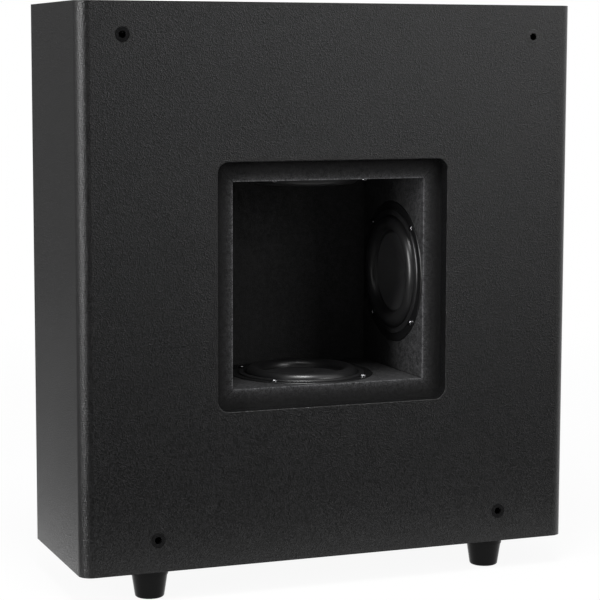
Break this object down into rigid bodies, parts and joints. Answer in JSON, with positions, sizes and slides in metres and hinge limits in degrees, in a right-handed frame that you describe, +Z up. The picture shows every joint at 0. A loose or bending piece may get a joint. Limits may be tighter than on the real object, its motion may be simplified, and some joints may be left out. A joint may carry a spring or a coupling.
{
  "type": "subwoofer",
  "caption": "Slim floor-standing subwoofer: bass drivers fire into a square cavity open through the front, with grille sockets, rubber feet and a recessed rear terminal cup.",
  "frame": {"origin": "on the floor under the middle of the cabinet", "axes": "+Z up, the front with its opening faces -Y, +X to the right seen from the front"},
  "size_m": [0.568, 0.192, 0.634],
  "materials": {
    "cabinet_wrap": "fine-grained satin black wrap on fibreboard",
    "cavity_board": "rough matte black paint on fibreboard",
    "basket_black": "satin black powder coat",
    "gasket_rubber": "satin black rubber",
    "surround_rubber": "smooth satin black rubber",
    "cone_black": "satin black moulded dish",
    "coil_metal": "lacquered winding on a metal former",
    "spider_cloth": "resin-treated woven cloth",
    "plated_steel": "zinc-plated steel",
    "ferrite": "sintered dark ceramic",
    "seal_foam": "closed-cell black foam",
    "screw_steel": "black-plated steel",
    "socket_plastic": "moulded black plastic",
    "foot_rubber": "matte black rubber",
    "cup_plastic": "moulded black plastic",
    "plated_brass": "gold-plated brass",
    "cap_black": "gloss black moulding",
    "cap_red": "gloss red moulding",
    "lead_sleeve": "black sleeved twin lead",
    "wadding_cloth": "white polyester wadding"
  },
  "bodies": {
    "cabinet": {"back_panel": "cabinet_wrap", "binding_studs": "plated_brass", "bottom_basket": "basket_black", "bottom_driver_board": "cavity_board", "bottom_magnet": "ferrite", "bottom_panel": "cabinet_wrap", "bottom_spider": "spider_cloth", "bottom_surround": "surround_rubber", "bottom_top_plate": "plated_steel", "bottom_yoke": "plated_steel", "driver_screws": "screw_steel", "driver_seals": "seal_foam", "foot_screws": "screw_steel", "foot_washers": "plated_steel", "front_panel": "cabinet_wrap", "gasket_rings": "gasket_rubber", "grille_sockets": "socket_plastic", "left_basket": "basket_black", "left_driver_board": "cavity_board", "left_magnet": "ferrite", "left_panel": "cabinet_wrap", "left_spider": "spider_cloth", "left_surround": "surround_rubber", "left_top_plate": "plated_steel", "left_yoke": "plated_steel", "post_nuts": "plated_brass", "right_basket": "basket_black", "right_driver_board": "cavity_board", "right_magnet": "ferrite", "right_panel": "cabinet_wrap", "right_spider": "spider_cloth", "right_surround": "surround_rubber", "right_top_plate": "plated_steel", "right_yoke": "plated_steel", "rubber_feet": "foot_rubber", "speaker_leads": "lead_sleeve", "terminal_cup": "cup_plastic", "terminal_screws": "screw_steel", "top_basket": "basket_black", "top_driver_board": "cavity_board", "top_magnet": "ferrite", "top_panel": "cabinet_wrap", "top_spider": "spider_cloth", "top_surround": "surround_rubber", "top_top_plate": "plated_steel", "top_yoke": "plated_steel", "wadding_sheets": "wadding_cloth"},
    "bottom_cone_assembly": {"bottom_cone": "cone_black", "bottom_voice_coil": "coil_metal"},
    "top_cone_assembly": {"top_cone": "cone_black", "top_voice_coil": "coil_metal"},
    "left_cone_assembly": {"left_cone": "cone_black", "left_voice_coil": "coil_metal"},
    "right_cone_assembly": {"right_cone": "cone_black", "right_voice_coil": "coil_metal"},
    "red_washer": {"red_post_washer": "plated_brass"},
    "red_cap": {"red_post_cap": "cap_red"},
    "black_washer": {"black_post_washer": "plated_brass"},
    "black_cap": {"black_post_cap": "cap_black"}
  },
  "joints": [
    {"name": "bottom_cone_stroke", "type": "slide", "parent": "cabinet", "child": "bottom_cone_assembly", "axis": [0, 0, 1], "range_m": [-0.008, 0.008], "stiffness_N_per_m": 1500, "deforming": ["bottom_surround", "bottom_spider"]},
    {"name": "top_cone_stroke", "type": "slide", "parent": "cabinet", "child": "top_cone_assembly", "axis": [0, 0, -1], "range_m": [-0.008, 0.008], "stiffness_N_per_m": 1500, "deforming": ["top_surround", "top_spider"]},
    {"name": "left_cone_stroke", "type": "slide", "parent": "cabinet", "child": "left_cone_assembly", "axis": [1, 0, 0], "range_m": [-0.008, 0.008], "stiffness_N_per_m": 1500, "deforming": ["left_surround", "left_spider"]},
    {"name": "right_cone_stroke", "type": "slide", "parent": "cabinet", "child": "right_cone_assembly", "axis": [-1, 0, 0], "range_m": [-0.008, 0.008], "stiffness_N_per_m": 1500, "deforming": ["right_surround", "right_spider"]},
    {"name": "black_cap_travel", "type": "slide", "parent": "cabinet", "child": "black_washer", "axis": [0, 1, 0], "range_m": [0, 0.005]},
    {"name": "black_cap_turn", "type": "hinge", "parent": "black_washer", "child": "black_cap", "pos_m": [-0.019, 0.075, 0.094], "axis": [0, 1, 0], "range_deg": [0, 1800]},
    {"name": "red_cap_travel", "type": "slide", "parent": "cabinet", "child": "red_washer", "axis": [0, 1, 0], "range_m": [0, 0.005]},
    {"name": "red_cap_turn", "type": "hinge", "parent": "red_washer", "child": "red_cap", "pos_m": [0.019, 0.075, 0.094], "axis": [0, 1, 0], "range_deg": [0, 1800]}
  ],
  "couplings": [
    {"joint": "black_cap_turn", "follows": "black_cap_travel", "rad_per_m": 6283.2},
    {"joint": "red_cap_turn", "follows": "red_cap_travel", "rad_per_m": 6283.2}
  ]
}
